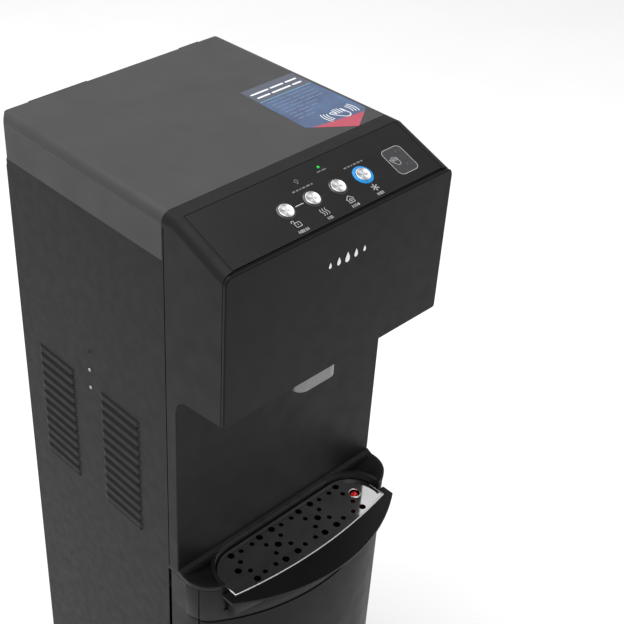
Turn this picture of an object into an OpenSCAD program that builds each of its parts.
// Free-standing hot, cold and room-temperature water dispenser with a bottle
// cabinet below. Front is -Y, up is +Z, origin at the middle of the footprint.

/* [Body] */
// Overall width of the mouldings
body_w = 310; // [306:1:314]
// Depth of the side panels, from the front seam to the rear edge
body_d = 265; // [260:1:270]
// Overall height
body_h = 1050; // [1046:1:1060]
// Height of the lid's side flange
lid_flange = 52; // [46:1:58]
// Radius of the long top edges
edge_r = 11; // [8:0.5:12]

/* [Head] */
// How far the head stands out in front of the seam
head_out = 91; // [86:1:96]
// Height of the head's front, measured down from the top
head_drop = 202; // [196:1:206]
// How far the control panel falls from back to front
panel_fall = 28; // [24:1:32]
// How far the bay wall stands in front of the seam
wall_out = 19.5; // [18:0.5:21]
// Radius of the cove between the head's underside and the bay wall
cove_r = 19; // [14:1:22]

/* [Bay and drip tray] */
// Depth of the bay floor below the top
bay_drop = 459; // [452:1:464]
// How far the bowed lower front stands out at its middle
bow_out = 102; // [99:0.5:104]
// Radius of the bowed front in plan
bow_r = 262; // [258:1:270]
// Half width of the drip grille
grille_half = 122; // [118:1:124]
// How far the tray's crescent front stands out in front of the seam
tray_out = 125; // [122:0.5:128]

/* [Buttons] */
// Distance between neighbouring buttons
button_pitch = 35; // [33:0.5:37]
// Radius of a button cap
button_r = 8.1; // [7.5:0.1:8.6]
// Travel of a button
button_travel = 1.2; // [0.8:0.1:1.4]

/* [Door] */
// Gap below the shelf and round the door
door_gap = 1.6; // [1.4:0.2:2]
// Radius of the hinge pins
hinge_r = 2.5; // [2:0.1:2.8]

/* [Hidden] */
$fn = 64;

// Main planes. The spacers behind and the bow in front set the overall depth.
spacer_out = 3;
half_w = body_w / 2;
seam_y = tray_out - (tray_out + body_d + spacer_out) / 2;
rear_y = seam_y + body_d;
head_y = seam_y - head_out;
wall_y = seam_y - wall_out;
strip_y = seam_y - 19;
lid_y = seam_y - 2;
floor_z = 20;
bay_z = body_h - bay_drop;
rim_z = bay_z - 4;
plate_z = bay_z - 15;
shelf_z = bay_z - 61;
head_z = body_h - head_drop;
head_back_z = head_z - 7;
fascia_t = 4;
shell_front_y = head_y + fascia_t + 0.8;

// Control panel: a plane that falls forwards from the top strip
slope = atan(panel_fall / (head_out - 19));
panel_len = (strip_y - shell_front_y) / cos(slope) - 0.7;
panel_half = half_w - 13;
panel_t = 2;
button_s = 40.5;
button_row_x = 3.5;
button_x = [for (i = [-1.5, -0.5, 0.5, 1.5]) button_row_x + i * button_pitch];
window_x = 107.3;
window_s = 43;
board_depth = 16;

// Sheet and moulding thicknesses
steel_t = 1.4;
wall_t = 3.5;
side_x = half_w - 2;
inner_x = side_x - steel_t - 0.4;
low_half = half_w - 0.6;
low_corner = 35;
side_gap = 7;
lip_h = 5.2;
lip_z = rim_z - lip_h;
tongue = 6;

// Rear panel: lower part set in for the condenser, upper part flush
rear_low_y = rear_y - 24;
rear_up_y = rear_y - 4;
rear_t = 1.5;

// Drip tray and grille
grille_back = seam_y - 24.5;
grille_front = seam_y - 91;
grille_corner = 38;
grille_front_r = 636;
tray_half = 132;
crescent_r = 236;
well_z = bay_z - 45;
hole_unit = 64;
hole_y = seam_y - 54.5;
float_x = 96;

// Cabinet door
door_half = half_w - 6;
door_low = 48;
door_top = shelf_z - door_gap;
door_back_y = seam_y - 42;
liner_t = 3;
jamb_x = door_half - 4.4;
hinge_x = door_half - 5.5;
hinge_y = seam_y - 54;

// Nozzle
nozzle_y = seam_y - 56;
nozzle_low = body_h - 244;
nozzle_half = 29;
nozzle_depth = 28;
nozzle_r = 12;

// Inner decks and the machines on them
deck_z = 562;
deck_t = 2;
tank_z = 742;
probe_x = 124;
probe_y = seam_y + 23;
compressor_x = -70;
compressor_y = seam_y + 153;
cold_x = 64;
cold_y = seam_y + 143;
hot_x = -80;
hot_y = seam_y + 128;
pump_x = 100;
gland_x = 100;
bracket_y = seam_y + 51;
branch_y = seam_y + 23;
cold_out_z = 773;
service_z = 728;
switch_z = 785;
rocker_pin_r = 1.2;
valve_x = [-45, 0, 45];
valve_z = 872;
valve_y = nozzle_y + 1;

// ---------- helpers ----------

// Straight round bar from a to b
module rod(a, b, r) {
    v = b - a;
    l = norm(v);
    translate(a)
        rotate([0, acos(v.z / l), atan2(v.y, v.x)])
            cylinder(h = l, r = r);
}

// Round hose along a list of points, with slightly swollen ball corners
module hose(points, r) {
    swell = 0.12;
    for (i = [1 : len(points) - 1])
        rod(points[i - 1], points[i], r);
    for (i = [1 : len(points) - 2])
        translate(points[i])
            sphere(r = r + swell);
}

// Rectangle from corner a to corner b with all four corners rounded
module soft_rect(a, b, r) {
    translate([a.x + r, a.y])
        square([b.x - a.x - 2 * r, b.y - a.y]);
    translate([a.x, a.y + r])
        square([b.x - a.x, b.y - a.y - 2 * r]);
    for (x = [a.x + r, b.x - r], y = [a.y + r, b.y - r])
        translate([x, y])
            circle(r = r);
}

// Extrudes an X-Z outline along Y, from y0 back to y1
module along_y(y0, y1) {
    translate([0, y1, 0])
        rotate([90, 0, 0])
            linear_extrude(y1 - y0)
                children();
}

// Extrudes a Y-Z outline along X, from x0 to x1
module along_x(x0, x1) {
    translate([x0, 0, 0])
        rotate([90, 0, 90])
            linear_extrude(x1 - x0)
                children();
}

// Places children on the control panel: x across, s down the slope, +Z outwards
module on_panel(x, s) {
    translate([x, strip_y - s * cos(slope), body_h - s * sin(slope)])
        rotate([slope, 0, 0])
            children();
}

// Plan of the bowed lower front, with rounded corners, up to the seam
module bow_plan(out, hw, rc) {
    centre_y = seam_y - out + bow_r;
    corner_y = centre_y - sqrt(pow(bow_r - rc, 2) - pow(hw - rc, 2));
    reach = bow_r / (bow_r - rc);
    tangent = [(hw - rc) * reach, centre_y + (corner_y - centre_y) * reach];
    difference() {
        intersection() {
            translate([0, centre_y])
                circle(r = bow_r, $fn = 180);
            translate([-hw, seam_y - out - 1])
                square([2 * hw, out]);
        }
        for (side = [-1, 1])
            scale([side, 1])
                difference() {
                    polygon([[hw - rc, corner_y], [hw + 2, corner_y],
                        [hw + 2, tangent.y - 2], tangent]);
                    translate([hw - rc, corner_y])
                        circle(r = rc);
                }
    }
}

// Plan of the drip grille, grown outwards by g: flat back, bowed front
module tray_plan(g) {
    intersection() {
        translate([0, grille_front + grille_front_r])
            circle(r = grille_front_r + g, $fn = 360);
        union() {
            translate([-grille_half - g, grille_front - 20])
                square([2 * (grille_half + g), 20 + grille_back - grille_corner - grille_front]);
            translate([-grille_half + grille_corner, grille_back - grille_corner - 1])
                square([2 * (grille_half - grille_corner), grille_corner + 1 + g]);
            for (side = [-1, 1])
                translate([side * (grille_half - grille_corner), grille_back - grille_corner])
                    circle(r = grille_corner + g);
        }
    }
}

// Plan of the nozzle, grown outwards by g
module nozzle_plan(g) {
    soft_rect([-nozzle_half - g, nozzle_y - nozzle_depth / 2 - g],
        [nozzle_half + g, nozzle_y + nozzle_depth / 2 + g], nozzle_r + g);
}

// ---------- casing ----------

module base_pan() {
    color("dimgray") {
        translate([-inner_x, seam_y - 1, floor_z])
            cube([2 * inner_x, rear_low_y - seam_y, 2]);
        translate([0, 0, floor_z])
            linear_extrude(2)
                bow_plan(bow_out - 6, low_half - 6, low_corner - 6);
        for (side = [-1, 1])
            translate([side * (inner_x - 0.75) - 0.75, seam_y + 2, floor_z])
                cube([1.5, rear_low_y - seam_y - 3, 26]);
        translate([-inner_x, rear_low_y - 3, floor_z])
            cube([2 * inner_x, 1.5, 26]);
    }
}

module levelling_feet() {
    color("black")
        for (x = [-1, 1], y = [seam_y - 22, rear_low_y - 22])
            translate([x * (half_w - 32), y, 0]) {
                cylinder(h = 6, r = 19);
                cylinder(h = floor_z, r = 14);
            }
}

// One pressed louvre: a hood with sloping ends that opens downwards
module louvre_hood(length) {
    end = length / 2;
    intersection() {
        rotate([90, 0, 0])
            linear_extrude(length, center = true)
                polygon([[-0.7, 4.6], [0, 4.6], [1.5, 2.4], [1.7, -4.4], [-0.7, -4.4]]);
        translate([0, 0, -6])
            linear_extrude(12)
                polygon([[-1, -end + 0.1], [0.05, -end + 0.1], [1.9, -end + 5],
                    [1.9, end - 5], [0.05, end - 0.1], [-1, end - 0.1]]);
    }
}

module side_panel(side) {
    louvre_count = 12;
    louvre_pitch = 13.9;
    louvre_top = body_h - 288;
    bank_y = [[seam_y + 79, 70], [seam_y + 196, 68]];
    color([0.16, 0.16, 0.165])
        scale([side, 1, 1])
            difference() {
                union() {
                    translate([side_x - steel_t, seam_y - 0.2, floor_z + 2])
                        cube([steel_t, body_d - 2, body_h - floor_z - 14]);
                    translate([inner_x - 12, rear_y - 1 - steel_t, floor_z + 2])
                        cube([side_x - inner_x + 12, steel_t, body_h - lid_flange - floor_z - 12]);
                    for (bank = bank_y, i = [0 : louvre_count - 1])
                        translate([side_x, bank[0], louvre_top - i * louvre_pitch])
                            louvre_hood(bank[1]);
                }
                for (bank = bank_y, i = [0 : louvre_count - 1])
                    translate([side_x - 3, bank[0] - bank[1] / 2 + 3, louvre_top - i * louvre_pitch - 8.2])
                        cube([5, bank[1] - 6, 3.8]);
                // corner behind the lid's cut corner
                translate([side_x - 5, rear_y - 9, body_h - lid_flange - 2])
                    cube([10, 20, lid_flange]);
                for (i = [0 : 2])
                    translate([side_x - 3, seam_y + 131.5, body_h - 239 - 25 * i])
                        rotate([0, 90, 0])
                            cylinder(h = 6, r = 1.7);
            }
}

module side_panel_left() {
    side_panel(-1);
}

module side_panel_right() {
    side_panel(1);
}

module rear_panel() {
    step_z = 860;
    color([0.13, 0.13, 0.135])
        difference() {
            along_x(-inner_x + 2, inner_x - 2)
                polygon([[rear_low_y, floor_z + 12], [rear_low_y + rear_t, floor_z + 12],
                    [rear_low_y + rear_t, step_z], [rear_up_y, step_z + 24],
                    [rear_up_y, body_h - 8], [rear_up_y - rear_t, body_h - 8],
                    [rear_up_y - rear_t, step_z + 24.6], [rear_low_y, step_z + 0.6]]);
            translate([gland_x, rear_low_y - 5, service_z])
                rotate([-90, 0, 0])
                    cylinder(h = 10, r = 7.2);
            translate([hot_x, rear_low_y - 5, service_z])
                rotate([-90, 0, 0])
                    cylinder(h = 10, r = 8);
            translate([gland_x - 27, rear_low_y - 5, switch_z - 13])
                cube([54, 10, 26]);
        }
}

// X-Z outline of the lid, with its top edges rounded
module lid_outline(inset) {
    r = edge_r - inset;
    low = body_h - lid_flange;
    translate([-half_w + inset, low])
        square([body_w - 2 * inset, lid_flange - edge_r]);
    translate([-half_w + edge_r, low])
        square([body_w - 2 * edge_r, lid_flange - inset]);
    for (side = [-1, 1])
        translate([side * (half_w - edge_r), body_h - edge_r])
            circle(r = r);
}

// Upright column that cuts the lid's two rear corners off by c
module lid_column(hw, back, c) {
    translate([0, 0, body_h - lid_flange - 2])
        linear_extrude(lid_flange + 4)
            polygon([[-hw - 1, lid_y - 5], [hw + 1, lid_y - 5], [hw + 1, back - c - 1],
                [hw - c - 1, back + 1], [-hw + c + 1, back + 1], [-hw - 1, back - c - 1]]);
}

module top_lid() {
    lid_t = 1.8;
    color([0.2, 0.2, 0.205])
        difference() {
            intersection() {
                along_y(lid_y + 0.4, rear_y)
                    lid_outline(0);
                lid_column(half_w, rear_y, 7);
            }
            intersection() {
                translate([0, 0, -0.01])
                    along_y(lid_y - 1, rear_y - lid_t)
                        lid_outline(lid_t);
                lid_column(half_w - lid_t, rear_y - lid_t, 6);
            }
        }
}

// X-Z outline of the head between z0 and z1, with only its top edges rounded
module head_section(z0, z1, inset) {
    translate([-half_w + inset, z0 + inset])
        square([body_w - 2 * inset, z1 - z0 - inset - edge_r]);
    translate([-half_w + edge_r, z0 + inset])
        square([body_w - 2 * edge_r, z1 - z0 - 2 * inset]);
    for (side = [-1, 1])
        translate([side * (half_w - edge_r), z1 - edge_r])
            circle(r = edge_r - inset);
}

// Head solid from the lid to the fascia, shrunk by inset and run back by extra
module head_block(inset, extra) {
    front_top = body_h - (strip_y - shell_front_y) * tan(slope);
    hull() {
        along_y(strip_y - 0.1, strip_y)
            head_section(head_back_z, body_h, inset);
        along_y(shell_front_y + inset, shell_front_y + inset + 0.1)
            head_section(head_z, front_top, inset);
    }
    along_y(strip_y - 0.05, lid_y + extra)
        head_section(head_back_z, body_h, inset);
}

module front_shell() {
    shell_in = half_w - wall_t;
    // cove between the head's sloping underside and the bay wall, in Y-Z
    rise = atan((head_z - head_back_z) / (strip_y - shell_front_y));
    under_z = head_back_z + (strip_y - wall_y + cove_r) * tan(rise);
    cove_mid = [wall_y - cove_r, under_z - cove_r / cos(rise)];
    cove_end = cove_mid + cove_r * [sin(rise), cos(rise)];
    color([0.17, 0.17, 0.175])
        difference() {
            union() {
                head_block(0, 0);
                translate([0, 0, rim_z + 0.2])
                    linear_extrude(head_back_z + 30 - rim_z)
                        difference() {
                            soft_rect([-half_w, wall_y], [half_w, lid_y + 10], 1.5);
                            translate([-half_w - 1, lid_y])
                                square([body_w + 2, 20]);
                        }
                // tongue that drops into the shelf
                translate([-half_w + tongue, wall_y, bay_z - 40])
                    cube([body_w - 2 * tongue, wall_out - 2, 60]);
                along_x(-half_w, half_w)
                    difference() {
                        polygon([cove_mid, [wall_y + 2, cove_mid.y], [wall_y + 2, head_back_z + 6],
                            cove_end + [0, 1], cove_end]);
                        translate(cove_mid)
                            circle(r = cove_r);
                    }
            }
            head_block(wall_t, 1);
            translate([-shell_in, wall_y + wall_t, bay_z - 60])
                cube([2 * shell_in, wall_out, head_back_z + 50 - bay_z + 30]);
            // opening behind the fascia
            along_y(shell_front_y - 1, shell_front_y + wall_t + 2)
                soft_rect([-half_w + 14, head_z + 14], [half_w - 14, body_h - 46], 6);
            // seat and opening of the control panel
            on_panel(0, 0)
                translate([-panel_half - 0.5, -panel_len - 3, -panel_t - 0.2])
                    cube([2 * panel_half + 1, panel_len + 3, 6]);
            on_panel(0, 0)
                translate([-panel_half + 12, -panel_len + 8, -12])
                    cube([2 * panel_half - 24, panel_len - 18, 16]);
            // shadow grooves beside the seam to the side panels
            for (side = [-1, 1])
                translate([side * half_w - 1.2, lid_y - 2.6, rim_z - 1])
                    cube([2.4, 1.3, body_h - rim_z - 14]);
            // hole for the nozzle
            translate([0, 0, head_back_z - 5])
                linear_extrude(30)
                    nozzle_plan(0.3);
        }
}

module control_panel() {
    color([0.08, 0.08, 0.085])
        difference() {
            union() {
                on_panel(0, 0)
                    translate([-panel_half, -panel_len, -panel_t])
                        cube([2 * panel_half, panel_len - 0.6, panel_t]);
                for (x = [-66, 122], s = [24, 60])
                    on_panel(x, s)
                        translate([0, 0, -board_depth + 1.6])
                            cylinder(h = board_depth - 1.6 - 0.5, r = 3);
            }
            for (x = button_x)
                on_panel(x, button_s)
                    translate([0, 0, -5])
                        cylinder(h = 10, r = button_r + 1.4);
            on_panel(window_x, window_s)
                translate([0, 0, -1.2])
                    linear_extrude(5)
                        soft_rect([-14.2, -17.7], [14.2, 17.7], 6.2);
            on_panel(window_x, window_s)
                translate([0, 0, -5])
                    linear_extrude(10)
                        soft_rect([-10, -13], [10, 13], 3);
            on_panel(20, 11.6)
                translate([0, 0, -5])
                    cylinder(h = 10, r = 1.7);
        }
}

// X-Z outline of the fascia, with tighter corners below
module fascia_outline(inset, low, high) {
    soft_rect([-half_w + inset, low + 20], [half_w - inset, high - inset], 8 - inset);
    soft_rect([-half_w + inset, low + inset], [half_w - inset, low + 60], 4 - inset);
}

module front_fascia() {
    bevel = 1.3;
    low = head_z;
    high = body_h - panel_fall - 0.2;
    rib_half = half_w - 15;
    color([0.09, 0.09, 0.095]) {
        hull() {
            along_y(head_y + bevel, head_y + fascia_t)
                fascia_outline(0, low, high);
            along_y(head_y, head_y + 1)
                fascia_outline(bevel, low, high);
        }
        along_y(head_y + fascia_t - 0.5, head_y + fascia_t + 9)
            difference() {
                soft_rect([-rib_half, low + 15], [rib_half, body_h - 47], 5);
                soft_rect([-rib_half + 2, low + 17], [rib_half - 2, body_h - 49], 3);
            }
    }
}

// ---------- bay floor and drip tray ----------

module tray_shelf() {
    floor_depth = 10;
    rim_w = 2.5;
    bowl_w = 26;
    ledge_front = grille_back + 2.4;
    color([0.12, 0.12, 0.125])
        difference() {
            union() {
                translate([0, 0, shelf_z])
                    linear_extrude(lip_z - shelf_z - 1.6)
                        bow_plan(bow_out - 1, low_half, low_corner);
                translate([0, 0, lip_z - 3])
                    linear_extrude(4)
                        bow_plan(bow_out - 3.5, half_w - 3, low_corner - 3);
                translate([0, 0, lip_z])
                    linear_extrude(lip_h)
                        bow_plan(bow_out, half_w, low_corner);
                // ledge along the foot of the bay wall
                along_x(-half_w, half_w)
                    polygon([[wall_y - 0.2, rim_z - 1], [ledge_front - 6, rim_z - 1],
                        [ledge_front - 5, rim_z], [wall_y - 0.2, bay_z]]);
            }
            // hollow below, behind the tray well
            translate([0, 0, shelf_z - 1])
                linear_extrude(well_z - shelf_z - 2)
                    bow_plan(bow_out - 4, low_half - 4, low_corner - 4);
            // gap to the side panels below the lip
            translate([-half_w - 1, seam_y - side_gap, shelf_z - 1])
                cube([body_w + 2, side_gap + 5, lip_z - shelf_z + 1]);
            // shallow grooves that carry on the line of the door's edges
            for (side = [-1, 1])
                translate([side * (door_half + door_gap / 2) - door_gap / 2, seam_y - 80, shelf_z - 1])
                    cube([door_gap, 31.5, lip_z - shelf_z + 0.5]);
            // pocket that the bay wall drops into
            translate([-half_w + tongue - 0.3, wall_y - 0.3, rim_z - 40])
                cube([body_w - 2 * tongue + 0.6, wall_out + 20, 60]);
            translate([-half_w - 1, wall_y - 0.3, rim_z])
                cube([body_w + 2, wall_out + 20, 20]);
            // sunken floor round the tray well, with sides that slope inwards
            difference() {
                hull() {
                    translate([0, 0, rim_z])
                        linear_extrude(1)
                            bow_plan(bow_out - rim_w, half_w - rim_w, low_corner - rim_w);
                    translate([0, 0, rim_z - floor_depth])
                        linear_extrude(1)
                            bow_plan(bow_out - bowl_w, half_w - bowl_w, low_corner - bowl_w);
                }
                translate([0, 0, rim_z - floor_depth - 1])
                    linear_extrude(floor_depth - 1)
                        tray_plan(7);
                translate([-half_w, wall_y - 8, rim_z - 20])
                    cube([body_w, 10, 20]);
            }
            // tray well, open to the front
            translate([0, 0, well_z])
                linear_extrude(60)
                    tray_plan(2.4);
            translate([-tray_half - 1, seam_y - bow_out - 5, well_z])
                cube([2 * tray_half + 2, bow_out - 62, 60]);
        }
}

module drip_tray() {
    lip_z = plate_z - 0.8;
    low = well_z + 0.4;
    color([0.1, 0.1, 0.105])
        difference() {
            union() {
                translate([0, 0, low])
                    linear_extrude(lip_z - low)
                        tray_plan(1.6);
                // crescent front that tapers down to the shelf
                hull() {
                    translate([0, 0, lip_z - 3])
                        linear_extrude(3)
                            crescent_plan(tray_half, tray_out);
                    translate([0, 0, low])
                        linear_extrude(1)
                            crescent_plan(tray_half - 12, bow_out - 0.5);
                }
            }
            translate([0, 0, low + 2])
                linear_extrude(60)
                    tray_plan(-3);
            translate([0, 0, plate_z - 1.5])
                linear_extrude(60)
                    tray_plan(0.25);
        }
}

// Front of the tray in plan: half width hw, its middle out from the seam
module crescent_plan(hw, out) {
    intersection() {
        translate([0, seam_y - out + crescent_r])
            circle(r = crescent_r, $fn = 120);
        translate([-hw, seam_y - out - 1])
            square([2 * hw, out - 68]);
    }
}

// One ring pattern of drain holes: small ones inside, large ones outside
module hole_ring(x, ends) {
    translate([x, hole_y]) {
        for (i = [0 : 7])
            rotate(22.5 + 45 * i)
                translate([22, 0])
                    circle(r = 3);
        for (a = ends)
            rotate(a)
                translate([31.5, 0])
                    circle(r = 4.2);
    }
}

module drip_grille() {
    color([0.75, 0.75, 0.76])
        difference() {
            translate([0, 0, plate_z - 1.4])
                linear_extrude(1.4)
                    difference() {
                        tray_plan(0);
                        hole_ring(-hole_unit, [0, 45, 135, 180, 225, 315]);
                        hole_ring(0, [45, 135, 225, 315]);
                        hole_ring(hole_unit, [45, 135, 180, 225, 315]);
                    }
            translate([float_x, hole_y, plate_z - 5])
                cylinder(h = 10, r = 6.2);
        }
}

module drip_float() {
    color("red")
        translate([float_x, hole_y, well_z + 2.6]) {
            cylinder(h = 8, r = 11);
            cylinder(h = 23, r = 4.8);
            translate([0, 0, 23])
                sphere(r = 4.8);
        }
}

// ---------- cabinet ----------

module door_frame() {
    jamb_h = shelf_z - floor_z - 2.6;
    jamb_y = seam_y - side_gap - 7;
    color([0.14, 0.14, 0.145]) {
        difference() {
            union() {
                translate([0, 0, floor_z + 2.2])
                    linear_extrude(22)
                        difference() {
                            bow_plan(bow_out, low_half, low_corner);
                            bow_plan(bow_out - 4, low_half - 4, low_corner - 4);
                        }
                translate([0, 0, floor_z + 2.2])
                    linear_extrude(shelf_z - floor_z - 2.4)
                        intersection() {
                            bow_plan(bow_out, low_half, low_corner);
                            for (side = [-1, 1])
                                translate([side * (door_half + door_gap + 15) - 15, seam_y - 80])
                                    square([30, 80 - side_gap]);
                        }
            }
            translate([-half_w, seam_y - side_gap, floor_z])
                cube([body_w, side_gap + 5, 40]);
        }
        // jambs that close the grooves between the stiles and the side panels
        for (side = [-1, 1])
            scale([side, 1, 1]) {
                translate([jamb_x, jamb_y, floor_z + 2.4])
                    cube([door_half + door_gap + 1 - jamb_x, 1.5, jamb_h]);
                translate([jamb_x, jamb_y, floor_z + 2.4])
                    cube([1.5, side_gap + 11, jamb_h]);
            }
    }
}

// Plan of the door out to its bowed face
module door_plan(inset) {
    intersection() {
        bow_plan(bow_out - inset, low_half - inset, low_corner - inset);
        translate([-door_half + inset, seam_y - bow_out - 10])
            square([2 * (door_half - inset), bow_out + 10 - 42 + inset]);
    }
}

module door_skin() {
    boss_h = 16;
    color([0.14, 0.14, 0.145])
        difference() {
            union() {
                difference() {
                    translate([0, 0, door_low])
                        linear_extrude(door_top - door_low)
                            door_plan(0);
                    translate([0, 0, door_low + 3])
                        linear_extrude(door_top - door_low - 6)
                            door_plan(3);
                }
                for (z = [door_low, door_top - boss_h])
                    translate([hinge_x - 6, hinge_y - 1, z])
                        cube([9, 11, boss_h]);
            }
            for (z = [door_low - 1, door_top - boss_h + 1])
                translate([hinge_x, hinge_y, z])
                    cylinder(h = boss_h, r = hinge_r + 0.06);
            // finger grip on the opening edge
            translate([-door_half - 6, door_back_y - 6, door_low + 330])
                cylinder(h = 90, r = 8);
        }
}

module door_liner() {
    color([0.2, 0.2, 0.205]) {
        translate([-door_half + 4, door_back_y + 0.1, door_low + 1])
            cube([2 * door_half - 8, liner_t, door_top - door_low - 2]);
        // two stiffening ribs
        for (z = [door_low + 120, door_top - 120])
            translate([-door_half + 40, door_back_y + 0.1 + liner_t - 0.5, z])
                cube([2 * door_half - 80, 4, 12]);
    }
}

module door_hinge_pins() {
    color("silver") {
        translate([hinge_x - 14, hinge_y - 2, shelf_z - 1.2])
            cube([19, 18, 1]);
        translate([hinge_x, hinge_y, door_top - 12])
            cylinder(h = door_gap + 11.5, r = hinge_r);
        translate([hinge_x - 14, hinge_y + 0.5, floor_z + 24.4])
            cube([19, 16, 2]);
        translate([hinge_x, hinge_y, floor_z + 24.4])
            cylinder(h = door_low - floor_z - 24.4 + 12, r = hinge_r);
        translate([hinge_x, hinge_y, floor_z + 24.4])
            cylinder(h = 2, r = 4);
    }
}

module door_catch() {
    color([0.15, 0.15, 0.15])
        translate([-132, door_back_y + liner_t + 2.4, shelf_z - 22])
            cube([30, 14, 21.8]);
}

module door_strike() {
    color("silver")
        translate([-134, door_back_y + liner_t + 0.2, door_top - 18])
            cube([34, 1.2, 14]);
}

module mid_deck() {
    color("gray")
        difference() {
            union() {
                translate([-inner_x, seam_y + 1, deck_z])
                    cube([2 * inner_x, rear_low_y - seam_y - 2, deck_t]);
                for (side = [-1, 1])
                    translate([side * (inner_x - 0.75) - 0.75, seam_y + 1, deck_z - 20])
                        cube([1.5, rear_low_y - seam_y - 2, 21]);
                // fork that the parked probe hangs in
                translate([inner_x - 1.5, probe_y - 15, 497.5])
                    cube([1.5, 30, deck_z - 497]);
                translate([probe_x - 16, probe_y - 15, 497.5])
                    cube([inner_x - probe_x + 16, 30, 2]);
            }
            translate([probe_x, probe_y, 480])
                cylinder(h = 40, r = 6.5);
            translate([probe_x - 30, probe_y - 6.5, 490])
                cube([30, 13, 20]);
            translate([probe_x, probe_y, deck_z - 5])
                cylinder(h = 10, r = 8);
        }
}

module tank_bracket() {
    color("gray")
        difference() {
            union() {
                translate([-inner_x, bracket_y, tank_z])
                    cube([2 * inner_x, rear_low_y - bracket_y - 1, 2]);
                for (side = [-1, 1])
                    translate([side * (inner_x - 0.75) - 0.75, bracket_y, tank_z - 20])
                        cube([1.5, rear_low_y - bracket_y - 1, 21]);
            }
            translate([hot_x, hot_y, tank_z - 5])
                cylinder(h = 10, r = 8);
            translate([cold_x, cold_y + 74, tank_z - 5])
                cylinder(h = 10, r = 6);
        }
}

module bottle_platform() {
    bottle_y = seam_y + 95;
    color([0.25, 0.25, 0.26])
        difference() {
            union() {
                translate([0, 0, floor_z + 2.2])
                    linear_extrude(16)
                        soft_rect([-142, seam_y - 39], [142, seam_y + 231], 14);
                translate([0, bottle_y, floor_z + 10])
                    cylinder(h = 13, r = 134);
            }
            translate([0, bottle_y, floor_z + 18.2])
                cylinder(h = 20, r = 130);
            translate([0, 0, floor_z])
                linear_extrude(14)
                    soft_rect([-138, seam_y - 35], [138, seam_y + 227], 10);
        }
}

module bottle_probe() {
    color([0.85, 0.87, 0.9])
        translate([probe_x, probe_y, 0]) {
            translate([0, 0, 499.7])
                cylinder(h = 6, r = 25);
            translate([0, 0, 499.7])
                cylinder(h = 34, r = 22);
            translate([0, 0, 533])
                cylinder(h = 8, r1 = 22, r2 = 10);
            translate([0, 0, 540])
                cylinder(h = 12, r = 4);
            translate([0, 0, 118])
                cylinder(h = 385, r = 5);
            translate([0, 0, 106])
                cylinder(h = 14, r1 = 3, r2 = 6);
        }
}

module suction_hose() {
    color([0.9, 0.9, 0.92])
        hose([[probe_x, probe_y, 552.1], [probe_x, probe_y, 600], [probe_x, bracket_y + 0.9, 600]], 5);
}

module water_pump() {
    color([0.15, 0.15, 0.17]) {
        translate([pump_x - 30, bracket_y + 7, deck_z + deck_t + 8])
            cube([60, 50, 48]);
        for (x = [-22, 22], y = [bracket_y + 15, bracket_y + 49])
            translate([pump_x + x, y, deck_z + deck_t])
                cylinder(h = 8.5, r = 6);
        translate([pump_x, bracket_y + 56, deck_z + deck_t + 32])
            rotate([-90, 0, 0])
                cylinder(h = 50, r = 21);
        for (x = [-20, 24])
            translate([pump_x + x, bracket_y + 1, 600])
                rotate([-90, 0, 0])
                    cylinder(h = 7, r = 4);
    }
}

module delivery_hose() {
    color([0.9, 0.9, 0.92])
        hose([[80, bracket_y + 0.9, 600], [80, branch_y, 600], [80, branch_y, 1002], [80, cold_y, 1002],
            [80, cold_y, 992.1]], 5);
}

// ---------- cooling and heating ----------

module cold_tank() {
    color([0.75, 0.76, 0.78])
        difference() {
            union() {
                translate([cold_x, cold_y, 765])
                    cylinder(h = 200, r = 70);
                translate([80, cold_y, 960])
                    cylinder(h = 32, r = 5);
                translate([45, bracket_y + 2, cold_out_z])
                    rotate([-90, 0, 0])
                        cylinder(h = 40, r = 4);
            }
            translate([cold_x, cold_y, 766.5])
                cylinder(h = 197, r = 68.5);
        }
}

module cold_insulation() {
    color([0.93, 0.93, 0.93])
        difference() {
            translate([cold_x - 84, cold_y - 85, tank_z + 2.2])
                cube([168, 170, 240]);
            translate([cold_x, cold_y, 757])
                cylinder(h = 216, r = 79);
            translate([80, cold_y, 960])
                cylinder(h = 40, r = 6);
            translate([45, bracket_y - 8, cold_out_z])
                rotate([-90, 0, 0])
                    cylinder(h = 40, r = 5);
            translate([cold_x, cold_y + 74, 730])
                cylinder(h = 50, r = 4);
        }
}

module evaporator_coil() {
    turns = 9;
    color([0.72, 0.45, 0.2]) {
        for (i = [0 : turns - 1])
            translate([cold_x, cold_y, 782 + 13 * i])
                rotate_extrude()
                    translate([74, 0])
                        circle(r = 3.2);
        rod([cold_x, cold_y + 74, 700], [cold_x, cold_y + 74, 782 + 13 * (turns - 1)], 2.4);
        hose([[cold_x, cold_y + 74, 699.9], [cold_x, cold_y + 74, 690],
            [25, compressor_y, 650], [12.2, compressor_y, 650]], 2.4);
    }
}

module hot_tank() {
    color([0.75, 0.76, 0.78])
        difference() {
            union() {
                translate([hot_x, hot_y, 758])
                    cylinder(h = 160, r = 50);
                translate([hot_x, hot_y, 910])
                    cylinder(h = 31, r = 4);
                rod([hot_x, hot_y, 760], [hot_x, hot_y, service_z], 5);
                translate([hot_x, hot_y, service_z])
                    sphere(r = 5);
                rod([hot_x, hot_y, service_z], [hot_x, rear_low_y + 14, service_z], 5);
            }
            translate([hot_x, hot_y, 759.5])
                cylinder(h = 157, r = 48.5);
        }
}

module hot_jacket() {
    color([0.86, 0.84, 0.78])
        difference() {
            translate([hot_x, hot_y, tank_z + 2.2])
                cylinder(h = 186, r = 59);
            translate([hot_x, hot_y, 757.5])
                cylinder(h = 161, r = 54);
            translate([hot_x, hot_y, 730])
                cylinder(h = 220, r = 6);
        }
}

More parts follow.
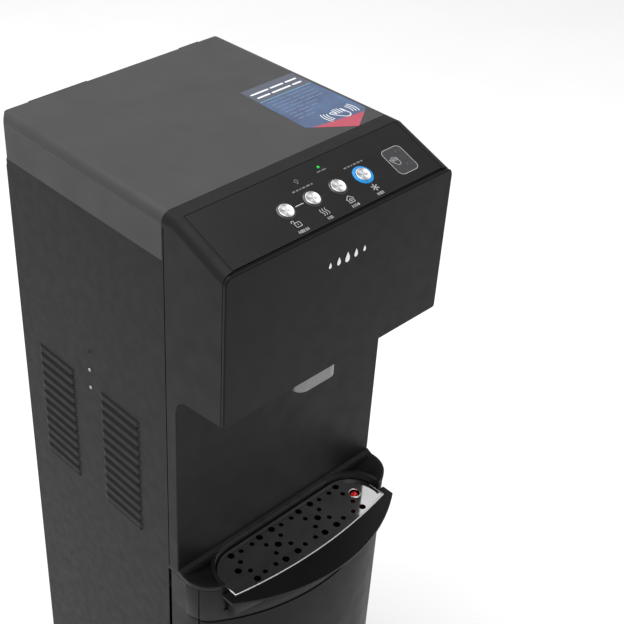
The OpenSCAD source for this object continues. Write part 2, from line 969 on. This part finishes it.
module band_heater() {
    color("silver")
        translate([hot_x, hot_y, 785])
            difference() {
                cylinder(h = 60, r = 53);
                translate([0, 0, -1])
                    cylinder(h = 62, r = 50.2);
                translate([-3, -60, -1])
                    cube([6, 20, 62]);
            }
}

module thermostats() {
    color("white")
        for (z = [862, 890])
            translate([hot_x, hot_y - 50.2, z])
                rotate([90, 0, 0])
                    cylinder(h = 2.6, r = 8);
}

module compressor() {
    color([0.1, 0.1, 0.1])
        translate([compressor_x, compressor_y, 0]) {
            difference() {
                union() {
                    translate([0, 0, 575])
                        cylinder(h = 110, r = 62);
                    translate([0, 0, 685])
                        cylinder(h = 34, r1 = 62, r2 = 42);
                    translate([-68, -68, 571.2])
                        cube([136, 136, 4]);
                }
                translate([0, 0, 579])
                    cylinder(h = 104, r = 58);
                translate([0, 0, 683])
                    cylinder(h = 31, r1 = 58, r2 = 40);
            }
            translate([0, 0, 578])
                cylinder(h = 84, r = 40);
            rod([60, 0, 650], [82, 0, 650], 3);
        }
}

module compressor_grommets() {
    color("black")
        for (x = [-58, 58], y = [-58, 58])
            translate([compressor_x + x, compressor_y + y, deck_z + deck_t])
                cylinder(h = 7.1, r = 9);
}

module condenser() {
    rows = 9;
    row_pitch = 70;
    row_low = 118;
    tube_y = rear_low_y + 13;
    reach = 100;
    color([0.08, 0.08, 0.08]) {
        for (i = [0 : rows - 1])
            rod([-reach, tube_y, row_low + row_pitch * i], [reach, tube_y, row_low + row_pitch * i], 2.5);
        for (i = [0 : rows - 2])
            translate([(i % 2 == 0 ? 1 : -1) * reach, tube_y, row_low + row_pitch * (i + 0.5)])
                rotate([90, 0, 0])
                    rotate(i % 2 == 0 ? -90 : 90)
                        rotate_extrude(angle = 180)
                            translate([row_pitch / 2, 0])
                                circle(r = 2.5);
        for (i = [0 : 8])
            rod([-88 + 22 * i, tube_y - 3.2, row_low - 20],
                [-88 + 22 * i, tube_y - 3.2, row_low + row_pitch * (rows - 1) + 20], 1.2);
        // tabs to the rear panel
        for (x = [-88, 88], z = [row_low + 20, row_low + row_pitch * 7])
            translate([x - 4, rear_low_y + rear_t, z])
                cube([8, 8, 14]);
    }
}

module filter_drier() {
    color([0.72, 0.45, 0.2])
        translate([10, compressor_y + 68, 0]) {
            translate([0, 0, 600])
                cylinder(h = 90, r = 9);
            translate([0, 0, 690])
                cylinder(h = 8, r1 = 9, r2 = 3);
            translate([0, 0, 592])
                cylinder(h = 8, r1 = 3, r2 = 9);
            translate([0, 0, deck_z + deck_t])
                cylinder(h = 30, r = 3);
            translate([0, 0, 697])
                cylinder(h = 30, r = 2);
        }
}

// ---------- taps ----------

module nozzle_cover() {
    top = head_back_z + 17;
    color([0.62, 0.63, 0.64])
        difference() {
            union() {
                hull() {
                    translate([0, 0, nozzle_low])
                        linear_extrude(1)
                            nozzle_plan(-2.5);
                    translate([0, 0, nozzle_low + 2.6])
                        linear_extrude(1)
                            nozzle_plan(0);
                }
                translate([0, 0, nozzle_low + 3])
                    linear_extrude(top - nozzle_low - 3)
                        nozzle_plan(0);
            }
            translate([0, 0, nozzle_low - 1])
                linear_extrude(top - nozzle_low + 5)
                    nozzle_plan(-4);
        }
}

module outlet_insert() {
    bar_z = head_back_z + 17.2;
    color([0.07, 0.07, 0.07])
        difference() {
            union() {
                translate([0, 0, nozzle_low + 3])
                    linear_extrude(bar_z - nozzle_low - 2)
                        nozzle_plan(-4.2);
                translate([-62, nozzle_y - 12, bar_z])
                    cube([124, 24, valve_z - bar_z]);
                translate([0, nozzle_y, nozzle_low + 0.4])
                    cylinder(h = 5, r = 8);
            }
            translate([0, nozzle_y, nozzle_low - 1])
                cylinder(h = bar_z - nozzle_low + 6, r = 5);
        }
}

module solenoid_valves() {
    color([0.9, 0.9, 0.88])
        for (x = valve_x)
            translate([x, valve_y, valve_z]) {
                translate([-11, -13, 0.1])
                    cube([22, 26, 20]);
                translate([0, 0, 20])
                    cylinder(h = 26, r = 11);
                translate([0, 12, 10])
                    rotate([-90, 0, 0])
                        cylinder(h = 9, r = 4);
            }
}

module hot_tube() {
    color([0.95, 0.8, 0.75])
        hose([[valve_x[0], valve_y + 21.1, valve_z + 10], [valve_x[0], branch_y, valve_z + 10],
            [valve_x[0], branch_y, 955], [hot_x, hot_y, 955], [hot_x, hot_y, 941.1]], 4);
}

module cold_tube() {
    color([0.8, 0.85, 0.95])
        hose([[valve_x[2], bracket_y + 1.9, cold_out_z], [valve_x[2], bracket_y - 13, cold_out_z],
            [valve_x[2], bracket_y - 13, valve_z + 10], [valve_x[2], valve_y + 21.1, valve_z + 10]], 4);
}

module room_tube() {
    color([0.9, 0.9, 0.92])
        hose([[75.1, branch_y, 910], [valve_x[1], branch_y, 910], [valve_x[1], branch_y, valve_z + 10],
            [valve_x[1], valve_y + 21.1, valve_z + 10]], 4);
}

// ---------- controls ----------

module control_board() {
    color([0.05, 0.3, 0.12]) {
        on_panel(0, 0)
            translate([-74, -65, -board_depth])
                cube([204, 46, 1.5]);
        for (x = button_x)
            on_panel(x, button_s)
                translate([0, 0, -board_depth + 1.4])
                    cylinder(h = 3.8, r = 3);
        for (s = [32.4, 50.1])
            on_panel(window_x + 3, s)
                translate([0, 0, -board_depth + 1.4])
                    cylinder(h = 12, r = 3.4);
    }
}

module sensor_window() {
    color([0.05, 0.05, 0.06])
        on_panel(window_x, window_s)
            translate([0, 0, -1.15])
                linear_extrude(1.3)
                    soft_rect([-14, -17.5], [14, 17.5], 6);
}

// Push button: dished cap, skirt and stem
module push_button(x) {
    color([0.8, 0.8, 0.8])
        on_panel(x, button_s)
            rotate_extrude()
                polygon([[0, -9], [3, -9], [3, -5.5], [button_r, -5.5], [button_r, button_travel + 0.3],
                    [button_r - 0.5, button_travel + 0.8], [button_r - 1.2, button_travel + 0.8],
                    [button_r - 3, button_travel + 0.3], [0, button_travel]]);
}

module button_unlock() {
    push_button(button_x[0]);
}

module button_hot() {
    push_button(button_x[1]);
}

module button_room() {
    push_button(button_x[2]);
}

module button_cold() {
    push_button(button_x[3]);
}

// Ring that a button slides in: barrel through the panel and a flange on it
module button_ring(x, flange_r, flange_h) {
    bore_r = button_r + 0.1;
    on_panel(x, button_s)
        difference() {
            union() {
                translate([0, 0, 0.02])
                    cylinder(h = flange_h, r = flange_r);
                translate([0, 0, -5])
                    cylinder(h = 5.5, r = button_r + 1.3);
            }
            translate([0, 0, -6])
                cylinder(h = 10, r = bore_r);
        }
}

module button_bezels() {
    color([0.12, 0.12, 0.12])
        for (i = [0 : 2])
            button_ring(button_x[i], button_r + 2.2, 1);
}

module cold_light_ring() {
    color([0.1, 0.5, 0.95])
        button_ring(button_x[3], button_r + 3.2, 0.9);
}

module status_led() {
    color("lime")
        on_panel(20, 11.6)
            rotate_extrude()
                polygon([[0, -3], [1.5, -3], [1.5, 0.2], [1.1, 0.6], [0, 0.8]]);
}

module power_box() {
    color([0.2, 0.2, 0.22])
        difference() {
            translate([32, compressor_y + 48, deck_z + deck_t])
                cube([108, 34, 76]);
            translate([34, compressor_y + 50, deck_z + deck_t + 2])
                cube([104, 30, 72]);
            for (i = [0 : 5])
                translate([44 + 16 * i, compressor_y + 46, deck_z + deck_t + 20])
                    cube([4, 6, 40]);
        }
}

// Rocker with two shallow faces on a pivot pin, resting on one side
module rocker(x) {
    translate([x, rear_low_y + 1.5, switch_z])
        rotate([10, 0, 0]) {
            translate([-6, 0, 0])
                rotate([90, 0, 90])
                    linear_extrude(12)
                        polygon([[-5, -5], [3, -9.3], [1.4, 0], [3, 9.3], [-5, 5]]);
            rotate([0, 90, 0])
                cylinder(h = 15, r = rocker_pin_r, center = true);
        }
}

module hot_switch() {
    color("red")
        rocker(gland_x - 12);
}

module cold_switch() {
    color("green")
        rocker(gland_x + 12);
}

module switch_plate() {
    color("black")
        difference() {
            union() {
                translate([gland_x - 32, rear_low_y + rear_t, switch_z - 18])
                    cube([64, 2, 36]);
                translate([gland_x - 26, rear_low_y - 12, switch_z - 12.5])
                    cube([52, 14, 25]);
            }
            for (x = [-12, 12]) {
                translate([gland_x + x - 6.6, rear_low_y - 10, switch_z - 10.6])
                    cube([13.2, 20, 21.2]);
                translate([gland_x + x, rear_low_y + 1.5, switch_z])
                    rotate([0, 90, 0])
                        cylinder(h = 15.4, r = rocker_pin_r + 0.05, center = true);
            }
        }
}

module power_gland() {
    color("black")
        translate([gland_x, rear_low_y - 8, service_z])
            rotate([-90, 0, 0])
                difference() {
                    union() {
                        cylinder(h = 10, r = 7);
                        translate([0, 0, 9.6])
                            cylinder(h = 4, r = 10);
                        cylinder(h = 2, r = 9);
                    }
                    translate([0, 0, -1])
                        cylinder(h = 20, r = 4);
                }
}

module drain_plug() {
    color("black")
        translate([hot_x, rear_low_y + 4, service_z])
            rotate([-90, 0, 0])
                difference() {
                    union() {
                        cylinder(h = 13, r = 8);
                        translate([0, 0, 8])
                            cylinder(h = 5, r = 10);
                    }
                    translate([0, 0, -1])
                        cylinder(h = 11.2, r = 5.06);
                }
}

module wall_spacers() {
    color("black") {
        translate([-116, rear_y, body_h - 34])
            cube([77, spacer_out, 33]);
        translate([93, rear_y, body_h - 34])
            cube([29, spacer_out, 33]);
    }
}

module side_screws() {
    color("silver")
        for (side = [-1, 1], i = [0 : 2])
            translate([side * side_x, seam_y + 131.5, body_h - 239 - 25 * i])
                rotate([0, side * 90, 0]) {
                    translate([0, 0, 0.05])
                        cylinder(h = 1.1, r = 2.8);
                    translate([0, 0, -4.4])
                        cylinder(h = 5, r = 1.5);
                }
}

base_pan();
levelling_feet();
side_panel_left();
side_panel_right();
rear_panel();
top_lid();
front_shell();
control_panel();
front_fascia();
tray_shelf();
drip_tray();
drip_grille();
drip_float();
door_frame();
door_skin();
door_liner();
door_hinge_pins();
door_catch();
door_strike();
mid_deck();
tank_bracket();
bottle_platform();
bottle_probe();
suction_hose();
water_pump();
delivery_hose();
cold_tank();
cold_insulation();
evaporator_coil();
hot_tank();
hot_jacket();
band_heater();
thermostats();
compressor();
compressor_grommets();
condenser();
filter_drier();
solenoid_valves();
nozzle_cover();
outlet_insert();
hot_tube();
cold_tube();
room_tube();
control_board();
sensor_window();
button_unlock();
button_hot();
button_room();
button_cold();
button_bezels();
cold_light_ring();
status_led();
power_box();
hot_switch();
cold_switch();
switch_plate();
power_gland();
drain_plug();
wall_spacers();
side_screws();
